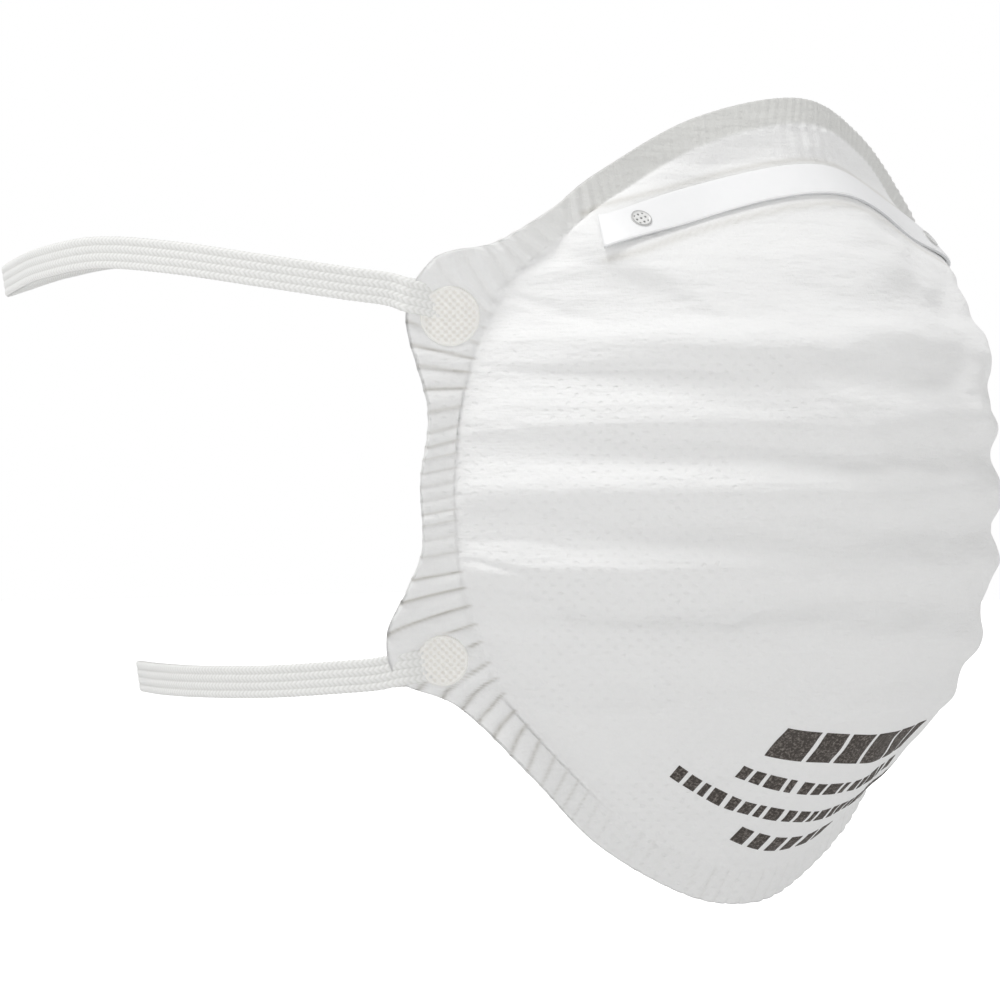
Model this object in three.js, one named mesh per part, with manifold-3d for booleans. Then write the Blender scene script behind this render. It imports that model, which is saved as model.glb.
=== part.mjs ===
// Disposable dust mask: a moulded cup of four thin layers with a crimped rim, a nose clip,
// a nose foam and two elastic head straps whose ends are welded to tabs of the rim.
// Millimetres. +Z is up, the mask faces -Y and the wearer's face comes in from +Y.
// The origin is on the symmetry plane, at half the height of the rim.
import * as THREE from "three";
import { mergeVertices } from "three/addons/utils/BufferGeometryUtils.js";
import Module from "manifold-3d";

const wasm = await Module();
wasm.setup();

// ---- driving dimensions -------------------------------------------------------------

// Stations round one half of the rim, from the nose to the chin. Each holds a point of the
// rim's root, where the cup turns into the flange, and the point of the flange edge beside it.
const RIM = [
  { root: [0, -4.5, 62.8], edge: [0, -3, 67.2] },
  { root: [19.4, -0.3, 58.7], edge: [21, 1.7, 62.8] },
  { root: [35.8, 4.9, 49.6], edge: [38.6, 6.6, 53.2] },
  { root: [43.5, 7.2, 44], edge: [46.4, 9.6, 47] },
  { root: [46, 12.7, 39.6], edge: [51, 17.5, 41.8] },
  { root: [49, 17.8, 34.5], edge: [58, 24.6, 39.2] },
  { root: [51, 20.8, 27], edge: [60.8, 28.4, 30] },
  { root: [53.7, 22.6, 15.5], edge: [58.9, 25, 14.5] },
  { root: [54.7, 23.1, 4], edge: [59.5, 26.2, 3] },
  { root: [54.5, 22.9, -7], edge: [59.3, 26, -8] },
  { root: [53.4, 22.4, -14], edge: [60.4, 28.8, -15] },
  { root: [51, 21.7, -21.5], edge: [61.3, 32.4, -22] },
  { root: [48.5, 20.6, -28.3], edge: [59.5, 31.3, -29.5] },
  { root: [45.5, 18.8, -34], edge: [52.2, 24.5, -34] },
  { root: [39, 14.2, -43], edge: [43.5, 16.3, -45.4] },
  { root: [28.2, 10.2, -52.8], edge: [31.8, 13.4, -56.6] },
  { root: [12, 7, -60.6], edge: [14, 10.6, -65.7] },
  { root: [0, 5.8, -62.5], edge: [0, 9, -68.2] },
];

const APEX = { y: -31, z: -2 }; // the cup's foremost point

// How far the cup has come back from the apex, as shares of the way to the root, at even
// steps of the distance from the apex: up to the nose, out to a cheek and down to the chin.
const NOSE_PROFILE = [0, 0.012, 0.045, 0.11, 0.2, 0.32, 0.48, 0.7, 0.93, 1];
const CHIN_PROFILE = [0, 0.01, 0.03, 0.07, 0.14, 0.25, 0.4, 0.59, 0.79, 1];
const CHEEK_REACH = 0.985; // share of a quarter ellipse that a cheek's profile uses

// The sine of the climb at which the nose and chin profiles start to take over.
const NOSE_START = 0.6;
const CHIN_START = 0.6;

const CUP_COLUMNS = 48;
const CUP_ROWS = 7;
const FLANGE_ROWS = [0.35, 1]; // shares of the flange's width
const WEB_FLANGE_ROWS = [0.35];

// Depths below the cup's outer face, in the cup and at the flange edge.
const COVER = { near: 0, far: 0.5, edgeNear: 0, edgeFar: 0.5 };
const FILTER = { near: 0.8, far: 1.3, edgeNear: 0.8, edgeFar: 1.3 };
const SUPPORT = { near: 1.6, far: 2.2, edgeNear: 1.6, edgeFar: 2.2 };
const LINER = { near: 2.5, far: 2.9, edgeNear: 0.8, edgeFar: 1.2 };
const GAP = 0.35; // between pieces that touch

const CLIP = { halfLength: 42, width: 6.4, thickness: 0.7, steps: 28, topZ: 52.5, fall: 0.33, bend: 14 };
const CLIP_GAP = 1; // between the clip and the cover's flat facets
const STAKE = { x: 36.2, holeRadius: 1.75, radius: 1.4, height: 0.6 };
const FOAM = { halfLength: 34, lowZ: 42, highZ: 53, drop: 9, thickness: 4.5, steps: 18, rows: 4 };
const FOAM_EDGE = 1.6; // thickness at the foam's outline
const FOAM_GAP = 0.7; // between the foam and the liner's flat facets

const PAD = { thickness: 0.9, sides: 24 };
const STRAP = { width: 5.6, thickness: 1, chamfer: 0.25 };
const STRAP_STEPS = 72;

// Weld pads: where on the flange they are, as facePoint() says, how far the strap's end runs
// from the pad's centre to the flange edge, how much it rises on the way in degrees, and how
// far above the pad's centre it starts.
const UPPER_PAD = { turn: 5.85 / 34, reach: 1.45, radius: 4.9, tongue: 7, rise: 12, offset: 1.8 };
const LOWER_PAD = { turn: 11.6 / 34, reach: 1.45, radius: 4.2, tongue: 8.6, rise: -8, offset: -0.4 };

// Routes of the free straps, from the -X side round the wearer's head to the +X side.
const UPPER_ROUTE = [
  [-62.2, 30.1, 34.1], [-66.5, 36, 35.2], [-74, 50, 37.7], [-79, 66, 40.2], [-80.4, 83, 41.6],
  [-78, 101, 40.6], [-70.4, 118.4, 39.3], [-59.3, 134.2, 39.4], [-44.6, 147.6, 41.4], [-27, 157.5, 44.8],
  [-9, 161.8, 47.6], [9, 161.8, 47.4], [27, 157.5, 45.4], [44.6, 147.6, 42.8], [59.3, 134.2, 40.4],
  [70.4, 118.4, 38.6], [78, 101, 37.2], [80.4, 83, 36.2], [79, 66, 35.4], [74, 50, 34.8],
  [66.5, 36, 34.3], [62.2, 30.1, 34.1],
];
const LOWER_ROUTE = [
  [-61.8, 34.2, -28.4], [-64.5, 40, -29], [-67.2, 53, -30], [-67.2, 67, -30.5],
  [-64, 83, -30.8], [-57, 98.5, -30.9], [-47, 111, -31.4], [-34, 121, -32.4], [-17, 128, -33.6],
  [0, 130.4, -34.2], [17, 128, -34], [34, 121, -33.3], [47, 111, -32.4], [57, 98.5, -31.5],
  [64, 83, -30.8], [67.2, 67, -30.2], [67.2, 53, -29.6], [64.5, 40, -29], [61.8, 34.2, -28.4],
];

// ---- materials ----------------------------------------------------------------------

function material(color, roughness, metalness = 0) {
  return new THREE.MeshStandardMaterial({ color, roughness, metalness });
}

const COVER_WHITE = 0xeeeeec;
const FILTER_WHITE = 0xf4f4f6;
const SHELL_WHITE = 0xe6e6e2;
const LINER_WHITE = 0xf0f0ee;
const PAINT_WHITE = 0xe8eaec;
const STAKE_GREY = 0x9a9a98;
const FOAM_GREY = 0xb4b6b8;
const STRAP_WHITE = 0xe4e4e2;
const WELD_IVORY = 0xe2dccf;

// ---- the cup's surface --------------------------------------------------------------

// The closed line of stations: down the +X side from the nose and up the -X side.
function rimCurve(key) {
  const half = RIM.map((station) => new THREE.Vector3(...station[key]));
  const back = half.slice(1, -1).reverse();
  const mirrored = back.map((point) => new THREE.Vector3(-point.x, point.y, point.z));
  return new THREE.CatmullRomCurve3([...half, ...mirrored], true, "catmullrom", 0.5);
}

const ROOT_LINE = rimCurve("root");
const EDGE_LINE = rimCurve("edge");

// A smooth curve through evenly spaced values, read at a share of its length.
function lookUp(values, share) {
  const place = THREE.MathUtils.clamp(share, 0, 1) * (values.length - 1);
  const index = Math.min(Math.floor(place), values.length - 2);
  const before = values[Math.max(index - 1, 0)];
  const after = values[Math.min(index + 2, values.length - 1)];
  const a = values[index];
  const b = values[index + 1];
  const f = place - index;
  const slopeA = (b - before) / 2;
  const slopeB = (after - a) / 2;
  const bend = (2 * a - 2 * b + slopeA + slopeB) * f;
  return ((bend + 3 * b - 3 * a - 2 * slopeA - slopeB) * f + slopeA) * f + a;
}

function cheekProfile(share) {
  const back = (part) => 1 - Math.sqrt(1 - (CHEEK_REACH * part) ** 2);
  return back(share) / back(1);
}

// The share of the way back at a share of the distance from the apex, in the direction of
// a point of the root: the three profiles run into each other round the cup.
function profile(root, share) {
  const climb = (root.z - APEX.z) / Math.hypot(root.x, root.z - APEX.z);
  const ends = climb > 0 ? NOSE_PROFILE : CHIN_PROFILE;
  const start = climb > 0 ? NOSE_START : CHIN_START;
  const weight = THREE.MathUtils.smoothstep(Math.abs(climb), start, 1);
  return THREE.MathUtils.lerp(cheekProfile(share), lookUp(ends, share), weight);
}

// A point of the outer face. turn runs round the rim from 0 to 1, and reach runs from 0 at
// the apex to 1 at the root and 2 at the flange edge.
function facePoint(turn, reach) {
  const wrapped = ((turn % 1) + 1) % 1;
  const root = ROOT_LINE.getPoint(wrapped);
  if (reach > 1) {
    return root.lerp(EDGE_LINE.getPoint(wrapped), reach - 1);
  }
  const y = THREE.MathUtils.lerp(APEX.y, root.y, profile(root, reach));
  const z = THREE.MathUtils.lerp(APEX.z, root.z, reach);
  return new THREE.Vector3(root.x * reach, y, z);
}

// The outward normal there.
function faceNormal(turn, reach) {
  if (reach === 0) {
    return new THREE.Vector3(0, -1, 0);
  }
  const step = 0.004;
  const inner = Math.max(reach - step, 0);
  const outer = Math.min(reach + step, 2);
  const out = facePoint(turn, outer).sub(facePoint(turn, inner));
  const round = facePoint(turn + step, reach).sub(facePoint(turn - step, reach));
  return round.cross(out).normalize();
}

function sunk(turn, reach, depth) {
  return facePoint(turn, reach).addScaledVector(faceNormal(turn, reach), -depth);
}

// The turn and reach of the cup's face in front of a point (x, z).
function locate(x, z) {
  const wanted = Math.atan2(Math.abs(x), z - APEX.z);
  let low = 0;
  let high = 0.5;
  for (let i = 0; i < 40; i += 1) {
    const root = ROOT_LINE.getPoint((low + high) / 2);
    if (Math.atan2(root.x, root.z - APEX.z) < wanted) {
      low = (low + high) / 2;
    } else {
      high = (low + high) / 2;
    }
  }
  const root = ROOT_LINE.getPoint(low);
  const reach = Math.hypot(x, z - APEX.z) / Math.hypot(root.x, root.z - APEX.z);
  return { turn: x < 0 ? 1 - low : low, reach };
}

// ---- solids -------------------------------------------------------------------------

function solidFrom(points, faces) {
  const geometry = new THREE.BufferGeometry();
  const flat = points.flatMap((point) => [point.x, point.y, point.z]);
  geometry.setAttribute("position", new THREE.Float32BufferAttribute(flat, 3));
  geometry.setIndex(faces.flat());
  return geometry;
}

// One layer of the cup: its outer face, its inner face and the cut edge that joins them.
function cupLayer(layer, flangeRows) {
  const reaches = [];
  for (let row = 1; row <= CUP_ROWS; row += 1) {
    reaches.push(Math.sin(((row / CUP_ROWS) * Math.PI) / 2));
  }
  reaches.push(...flangeRows.map((share) => 1 + share));
  const points = [];
  const faces = [];
  for (const side of ["near", "far"]) {
    const edgeKey = side === "near" ? "edgeNear" : "edgeFar";
    const apex = points.push(sunk(0, 0, layer[side])) - 1;
    for (const reach of reaches) {
      const thin = THREE.MathUtils.smoothstep(reach, 1.35, 1.7);
      const depth = THREE.MathUtils.lerp(layer[side], layer[edgeKey], thin);
      for (let column = 0; column < CUP_COLUMNS; column += 1) {
        points.push(sunk(column / CUP_COLUMNS, reach, depth));
      }
    }
    const turned = side === "near" ? (a, b, c) => [a, c, b] : (a, b, c) => [a, b, c];
    for (let column = 0; column < CUP_COLUMNS; column += 1) {
      const next = (column + 1) % CUP_COLUMNS;
      faces.push(turned(apex, apex + 1 + column, apex + 1 + next));
      for (let row = 1; row < reaches.length; row += 1) {
        const low = apex + 1 + (row - 1) * CUP_COLUMNS;
        const high = low + CUP_COLUMNS;
        faces.push(turned(low + column, high + column, high + next));
        faces.push(turned(low + column, high + next, low + next));
      }
    }
  }
  const perSide = points.length / 2;
  const edge = perSide - CUP_COLUMNS;
  for (let column = 0; column < CUP_COLUMNS; column += 1) {
    const next = (column + 1) % CUP_COLUMNS;
    const far = edge + perSide;
    faces.push([edge + column, far + next, far + column]);
    faces.push([edge + column, edge + next, far + next]);
  }
  return solidFrom(points, faces);
}

// A slab that follows the cup over a grid of (x, z) places, between two depths at each.
function slab(columns, rows, placeAt, depthsAt) {
  const points = [];
  for (const side of [0, 1]) {
    for (let column = 0; column <= columns; column += 1) {
      for (let row = 0; row <= rows; row += 1) {
        const [x, z] = placeAt(column / columns, row / rows);
        const { turn, reach } = locate(x, z);
        points.push(sunk(turn, reach, depthsAt(column / columns, row / rows)[side]));
      }
    }
  }
  const perSide = points.length / 2;
  const at = (side, column, row) => side * perSide + column * (rows + 1) + row;
  const faces = [];
  const quad = (a, b, c, d) => faces.push([a, b, c], [a, c, d]);
  for (let column = 0; column < columns; column += 1) {
    for (let row = 0; row < rows; row += 1) {
      const corners = [[column, row], [column + 1, row], [column + 1, row + 1], [column, row + 1]];
      quad(...corners.map(([c, r]) => at(0, c, r)));
      quad(...corners.reverse().map(([c, r]) => at(1, c, r)));
    }
    quad(at(0, column + 1, 0), at(0, column, 0), at(1, column, 0), at(1, column + 1, 0));
    quad(at(0, column, rows), at(0, column + 1, rows), at(1, column + 1, rows), at(1, column, rows));
  }
  for (let row = 0; row < rows; row += 1) {
    quad(at(0, 0, row), at(0, 0, row + 1), at(1, 0, row + 1), at(1, 0, row));
    const last = columns;
    quad(at(0, last, row + 1), at(0, last, row), at(1, last, row), at(1, last, row + 1));
  }
  return solidFrom(points, faces);
}

function toManifold(geometry) {
  const bare = geometry.clone();
  bare.deleteAttribute("normal");
  bare.deleteAttribute("uv");
  const merged = mergeVertices(bare, 1e-4);
  const mesh = new wasm.Mesh({
    numProp: 3,
    vertProperties: new Float32Array(merged.attributes.position.array),
    triVerts: new Uint32Array(merged.index.array),
  });
  return new wasm.Manifold(mesh);
}

function toGeometry(solid) {
  const mesh = solid.getMesh();
  const geometry = new THREE.BufferGeometry();
  geometry.setAttribute("position", new THREE.BufferAttribute(mesh.vertProperties, 3));
  geometry.setIndex(new THREE.BufferAttribute(mesh.triVerts, 1));
  return geometry;
}

function namedMesh(name, geometry, itsMaterial) {
  const mesh = new THREE.Mesh(geometry, itsMaterial);
  mesh.name = name;
  return mesh;
}

// A rotation whose local X runs along one direction and local Z along the other.
function turnTo(along, out) {
  const across = new THREE.Vector3().crossVectors(out, along).normalize();
  const trueAlong = new THREE.Vector3().crossVectors(across, out);
  const matrix = new THREE.Matrix4().makeBasis(trueAlong, across, out);
  return new THREE.Quaternion().setFromRotationMatrix(matrix);
}

// ---- nose clip, its stakes and the nose foam ----------------------------------------

// The height of the clip's centre line at a place across the nose.
function clipZ(x) {
  return CLIP.topZ - CLIP.fall * (Math.hypot(x, CLIP.bend) - CLIP.bend);
}

function clipFrame(x) {
  const { turn, reach } = locate(x, clipZ(x));
  const out = faceNormal(turn, reach);
  const step = 0.5;
  const ahead = locate(x + step, clipZ(x + step));
  const along = facePoint(ahead.turn, ahead.reach).sub(facePoint(turn, reach)).normalize();
  return { face: facePoint(turn, reach), out, along };
}

// The strip before it is punched: flat across its width and bent only along its length.
function clipBlank() {
  const points = [];
  const faces = [];
  for (let i = 0; i <= CLIP.steps; i += 1) {
    const { face, out, along } = clipFrame(CLIP.halfLength * ((2 * i) / CLIP.steps - 1));
    const across = new THREE.Vector3().crossVectors(along, out).normalize();
    for (const [side, height] of [[-1, 0], [1, 0], [1, 1], [-1, 1]]) {
      const lift = CLIP_GAP + height * CLIP.thickness;
      const point = face.clone().addScaledVector(across, (side * CLIP.width) / 2);
      points.push(point.addScaledVector(out, lift));
    }
  }
  for (let i = 0; i < CLIP.steps; i += 1) {
    for (let corner = 0; corner < 4; corner += 1) {
      const a = 4 * i + corner;
      const b = 4 * i + ((corner + 1) % 4);
      faces.push([a, b + 4, b], [a, a + 4, b + 4]);
    }
  }
  const last = 4 * CLIP.steps;
  faces.push([0, 1, 2], [0, 2, 3], [last, last + 2, last + 1], [last, last + 3, last + 2]);
  return solidFrom(points, faces);
}

function stakePlug(x, radius, low, high) {
  const plug = new THREE.CylinderGeometry(radius, radius, high - low, 20);
  plug.rotateX(Math.PI / 2);
  plug.translate(0, 0, (low + high) / 2);
  const { face, out, along } = clipFrame(x);
  plug.applyQuaternion(turnTo(along, out));
  plug.translate(face.x, face.y, face.z);
  return plug;
}

function noseClip() {
  const reach = 3; // how far the punch passes both faces of the strip
  let solid = toManifold(clipBlank());
  for (const side of [-1, 1]) {
    solid = solid.subtract(toManifold(stakePlug(side * STAKE.x, STAKE.holeRadius, -reach, reach)));
  }
  return toGeometry(solid);
}

// The foam lies on the liner under the clip, thick in the middle and thin at its outline.
function noseFoam() {
  const placeAt = (along, across) => {
    const x = FOAM.halfLength * (2 * along - 1);
    const drop = FOAM.drop * (2 * along - 1) ** 2;
    return [x, THREE.MathUtils.lerp(FOAM.lowZ, FOAM.highZ, across) - drop];
  };
  const depthsAt = (along, across) => {
    const crown = Math.sqrt(Math.sin(Math.PI * along) * Math.sin(Math.PI * across));
    const near = LINER.far + FOAM_GAP;
    return [near, near + THREE.MathUtils.lerp(FOAM_EDGE, FOAM.thickness, crown)];
  };
  return slab(FOAM.steps, FOAM.rows, placeAt, depthsAt);
}

// ---- straps and their welds ---------------------------------------------------------

// A pad's place on the +X side: its centre on the flange, the flange's outward normal there,
// the way out to the edge, and how far the flange bulges above its tangent plane.
function padSeat(pad) {
  const face = facePoint(pad.turn, pad.reach);
  const out = faceNormal(pad.turn, pad.reach);
  const along = facePoint(pad.turn, 2).sub(facePoint(pad.turn, 1)).setZ(0).normalize();
  let bulge = 0;
  for (let turn = pad.turn - 0.04; turn < pad.turn + 0.04; turn += 0.005) {
    for (let reach = 1; reach <= 2; reach += 0.1) {
      const from = facePoint(turn, reach).sub(face);
      if (from.length() < pad.radius + 1.5) {
        bulge = Math.max(bulge, from.dot(out));
      }
    }
  }
  return { face, out, along, bulge };
}

// A weld: the round pad and the fused end of the strap that runs from it to the flange edge.
// Local X runs out to the edge, local Y up the flange and local Z away from it.
function weldGeometry(pad, up) {
  const disc = new THREE.CylinderGeometry(pad.radius, pad.radius, PAD.thickness, PAD.sides);
  disc.rotateX(Math.PI / 2);
  disc.translate(0, 0, PAD.thickness / 2);
  const tongue = new THREE.BoxGeometry(pad.tongue, STRAP.width, PAD.thickness);
  tongue.translate(pad.tongue / 2, 0, PAD.thickness / 2);
  tongue.rotateZ(up * THREE.MathUtils.degToRad(pad.rise));
  tongue.translate(0, up * pad.offset, 0);
  return toGeometry(toManifold(disc).add(toManifold(tongue)));
}

// side is -1 for the wearer's right and 1 for the left.
function weld(name, pad, side) {
  const { face, out, along, bulge } = padSeat(pad);
  const mirror = new THREE.Vector3(side, 1, 1);
  const seat = face.addScaledVector(out, bulge + GAP).multiply(mirror);
  const turn = turnTo(along.multiply(mirror), out.multiply(mirror));
  const up = Math.sign(new THREE.Vector3(0, 1, 0).applyQuaternion(turn).z);
  const mesh = namedMesh(name, weldGeometry(pad, up), material(WELD_IVORY, 0.6));
  mesh.position.copy(seat);
  mesh.quaternion.copy(turn);
  return mesh;
}

function strapSection() {
  const w = STRAP.width / 2;
  const t = STRAP.thickness / 2;
  const c = STRAP.chamfer;
  const corners = [
    [w, t - c], [w - c, t], [c - w, t], [-w, t - c],
    [-w, c - t], [c - w, -t], [w - c, -t], [w, c - t],
  ];
  return new THREE.Shape(corners.map(([x, y]) => new THREE.Vector2(x, y)));
}

function strap(name, route) {
  const path = new THREE.CatmullRomCurve3(route.map((point) => new THREE.Vector3(...point)));
  const geometry = new THREE.ExtrudeGeometry(strapSection(), {
    steps: STRAP_STEPS,
    extrudePath: path,
  });
  return namedMesh(name, geometry, material(STRAP_WHITE, 0.8));
}

// ---- assembly -----------------------------------------------------------------------

function cup() {
  const group = new THREE.Group();
  group.add(
    namedMesh("outer_cover", cupLayer(COVER, FLANGE_ROWS), material(COVER_WHITE, 0.9)),
    namedMesh("filter_web", cupLayer(FILTER, WEB_FLANGE_ROWS), material(FILTER_WHITE, 0.95)),
    namedMesh("support_shell", cupLayer(SUPPORT, WEB_FLANGE_ROWS), material(SHELL_WHITE, 0.85)),
    namedMesh("inner_liner", cupLayer(LINER, FLANGE_ROWS), material(LINER_WHITE, 0.95)),
  );
  return group;
}

function noseFittings() {
  const group = new THREE.Group();
  group.add(namedMesh("nose_clip", noseClip(), material(PAINT_WHITE, 0.35, 0.3)));
  for (const [side, word] of [[-1, "right"], [1, "left"]]) {
    const plug = stakePlug(side * STAKE.x, STAKE.radius, CLIP_GAP, CLIP_GAP + STAKE.height);
    group.add(namedMesh(`nose_clip_stake_${word}`, plug, material(STAKE_GREY, 0.4)));
  }
  group.add(namedMesh("nose_foam", noseFoam(), material(FOAM_GREY, 1)));
  return group;
}

function harness() {
  const group = new THREE.Group();
  group.add(strap("upper_strap", UPPER_ROUTE), strap("lower_strap", LOWER_ROUTE));
  for (const [side, word] of [[-1, "right"], [1, "left"]]) {
    group.add(weld(`strap_weld_upper_${word}`, UPPER_PAD, side));
    group.add(weld(`strap_weld_lower_${word}`, LOWER_PAD, side));
  }
  return group;
}

const dustMask = new THREE.Group();
dustMask.name = "dust_mask";
dustMask.add(cup(), noseFittings(), harness());

export default dustMask;
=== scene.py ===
"""A disposable dust mask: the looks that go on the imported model.

The moulded cup, its crimped rim, the nose clip and foam, the weld pads and the elastic straps are
built here as fine meshes in the model's own frame: +Z up, the mask facing -Y, the wearer at +Y.
Lengths are in millimetres until mesh_object() turns them into metres.
"""

import math

import bpy
import numpy as np
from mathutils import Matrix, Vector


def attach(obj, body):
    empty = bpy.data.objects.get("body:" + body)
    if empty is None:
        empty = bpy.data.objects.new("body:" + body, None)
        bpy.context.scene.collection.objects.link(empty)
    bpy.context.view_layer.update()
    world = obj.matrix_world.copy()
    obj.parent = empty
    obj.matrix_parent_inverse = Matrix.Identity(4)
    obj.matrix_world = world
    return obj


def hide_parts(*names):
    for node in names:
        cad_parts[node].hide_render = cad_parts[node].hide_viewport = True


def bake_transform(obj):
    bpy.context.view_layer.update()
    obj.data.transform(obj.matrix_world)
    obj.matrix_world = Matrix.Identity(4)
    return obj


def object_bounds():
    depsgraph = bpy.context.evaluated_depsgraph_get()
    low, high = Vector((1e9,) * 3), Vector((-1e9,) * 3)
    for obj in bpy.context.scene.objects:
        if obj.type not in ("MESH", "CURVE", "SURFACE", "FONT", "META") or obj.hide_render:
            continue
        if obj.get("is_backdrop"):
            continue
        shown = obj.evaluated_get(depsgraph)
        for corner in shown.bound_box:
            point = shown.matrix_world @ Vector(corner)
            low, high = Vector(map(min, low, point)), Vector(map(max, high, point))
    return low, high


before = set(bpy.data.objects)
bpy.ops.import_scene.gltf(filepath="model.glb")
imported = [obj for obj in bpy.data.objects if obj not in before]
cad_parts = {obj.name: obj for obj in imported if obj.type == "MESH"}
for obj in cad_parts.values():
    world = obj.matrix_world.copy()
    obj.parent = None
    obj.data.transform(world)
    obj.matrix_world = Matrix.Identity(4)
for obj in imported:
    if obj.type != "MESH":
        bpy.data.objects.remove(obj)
CAD_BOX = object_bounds()

MM = 0.001
ROOT2 = math.sqrt(2)

# ---- driving dimensions ----

# Stations round one half of the rim, from the nose to the chin. Each has the root, where the cup
# turns into the flange, the flange edge beside it, the crimps' pitch and how far they stand up.
RIM = [
    ((0, -4.5, 62.8), (0, -3, 67.2), 1.7, 0.22),
    ((19.4, -0.3, 58.7), (21, 1.7, 62.8), 1.7, 0.22),
    ((35.8, 4.9, 49.6), (38.6, 6.6, 53.2), 2.0, 0.25),
    ((43.5, 7.2, 44), (46.4, 9.6, 47), 2.8, 0.4),
    ((46, 12.7, 39.6), (51, 17.5, 41.8), 3.2, 0.7),
    ((49, 17.8, 34.5), (58, 24.6, 39.2), 3.8, 0.9),
    ((51, 20.8, 27), (60.8, 28.4, 30), 3.8, 0.8),
    ((53.7, 22.6, 15.5), (58.9, 25, 14.5), 2.7, 0.6),
    ((54.7, 23.1, 4), (59.5, 26.2, 3), 2.3, 0.5),
    ((54.5, 22.9, -7), (59.3, 26, -8), 2.5, 0.5),
    ((53.4, 22.4, -14), (60.4, 28.8, -15), 3.6, 0.8),
    ((51, 21.7, -21.5), (61.3, 32.4, -22), 4.2, 0.95),
    ((48.5, 20.6, -28.3), (59.5, 31.3, -29.5), 3.9, 0.8),
    ((45.5, 18.8, -34), (52.2, 24.5, -34), 3.4, 0.7),
    ((39, 14.2, -43), (43.5, 16.3, -45.4), 3.1, 0.5),
    ((28.2, 10.2, -52.8), (31.8, 13.4, -56.6), 3.2, 0.4),
    ((12, 7, -60.6), (14, 10.6, -65.7), 3.2, 0.35),
    ((0, 5.8, -62.5), (0, 9, -68.2), 3.2, 0.35),
]
APEX_Y = -31.0
APEX_Z = -2.0
NOSE_PROFILE = [0, 0.012, 0.045, 0.11, 0.2, 0.32, 0.48, 0.7, 0.93, 1]
CHIN_PROFILE = [0, 0.01, 0.03, 0.07, 0.14, 0.25, 0.4, 0.59, 0.79, 1]
CHEEK_REACH = 0.985  # share of a quarter ellipse that a cheek's profile uses
BLEND_START = 0.6  # sine of the climb at which the nose and chin profiles start to take over

COVER_THICKNESS = 0.5
BOND_PITCH = 2.5  # along a row of the cover's bond dimples
BOND_ROW = 1.22
LINER_DEPTH = 2.5
LINER_THICKNESS = 0.45
LINER_EDGE_DEPTH = 0.6

# Ribs moulded across the cup: height of the ridge line or furrow, and how far it stands out.
RIBS = [
    (-70, 0.3), (-46, 0.3), (-40, 0.0), (-33.6, 1.05), (-28.6, -0.2), (-22.5, 1.25), (-16.8, -0.2),
    (-10, 1.25), (-4.6, -0.25), (1.6, 1.55), (7.6, -0.4), (14, 1.3), (19.8, 0.1), (25.4, 1.65),
    (32, -0.35), (40, 0.5), (70, 0.5),
]

# Creases: each runs back along the side of the cup from one place to another. A place is the
# distance back along the side, (|x| + y) / root 2, and the height; then width and depth.
CREASES = [
    ((52, 21.6), (9, 19.9), 0.9, 0.3),
    ((51, -6.6), (30, -7.6), 0.9, 0.35),
    ((52, -10.2), (24, -13.6), 1.1, 0.35),
    ((50, -13.6), (30, -19.4), 1.0, 0.3),
    ((49, -24.0), (22, -24.6), 1.2, 0.3),
    ((50, -1.5), (36, -2.2), 0.8, 0.25),
    ((10, -19.5), (-9, -9.7), 1.5, 0.35),
    ((52, 12.0), (38, 11.2), 0.9, 0.2),
    ((47, 33.0), (28, 27.5), 1.8, 0.3),
]

CLIP = {"half": 42.0, "width": 6.4, "thickness": 0.7, "top": 52.5, "fall": 0.33, "bend": 14.0, "lift": 1.0}
STAKE_X = 36.2
STAKE_RADIUS = 1.75
STAKE_PITCH = 0.88  # between the pits in a stake
FOAM = {"half": 34.0, "low": 42.0, "high": 53.0, "drop": 9.0, "edge": 0.7, "thickness": 4.6}

UPPER_PAD = {"turn": 5.85 / 34, "reach": 1.45, "radius": 4.9, "rise": 12.0, "offset": 1.8}
LOWER_PAD = {"turn": 11.6 / 34, "reach": 1.45, "radius": 4.2, "rise": -8.0, "offset": -0.4}
KNURL_PITCH = 1.3  # between the tips of a pad's knurling

STRAP_WIDTH = 5.6
STRAP_THICKNESS = 1.0
STRAP_RIBS = 4
STITCH_PITCH = 0.92  # of the knit along a band

# Routes of the free straps, from the -X side round the wearer's head to the +X side.
UPPER_ROUTE = [
    (-62.2, 30.1, 34.1), (-66.5, 36, 35.2), (-74, 50, 37.7), (-79, 66, 40.2), (-80.4, 83, 41.6),
    (-78, 101, 40.6), (-70.4, 118.4, 39.3), (-59.3, 134.2, 39.4), (-44.6, 147.6, 41.4), (-27, 157.5, 44.8),
    (-9, 161.8, 47.6), (9, 161.8, 47.4), (27, 157.5, 45.4), (44.6, 147.6, 42.8), (59.3, 134.2, 40.4),
    (70.4, 118.4, 38.6), (78, 101, 37.2), (80.4, 83, 36.2), (79, 66, 35.4), (74, 50, 34.8),
    (66.5, 36, 34.3), (62.2, 30.1, 34.1),
]
LOWER_ROUTE = [
    (-61.8, 34.2, -28.4), (-64.5, 40, -29), (-67.2, 53, -30), (-67.2, 67, -30.5),
    (-64, 83, -30.8), (-57, 98.5, -30.9), (-47, 111, -31.4), (-34, 121, -32.4), (-17, 128, -33.6),
    (0, 130.4, -34.2), (17, 128, -34), (34, 121, -33.3), (47, 111, -32.4), (57, 98.5, -31.5),
    (64, 83, -30.8), (67.2, 67, -30.2), (67.2, 53, -29.6), (64.5, 40, -29), (61.8, 34.2, -28.4),
]
BAND_LEAN = 0.22  # how far the bands' upper edges lean out round the back
BAND_STEP = 0.31  # between the sections of a band's mesh

# ---- camera ----


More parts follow.
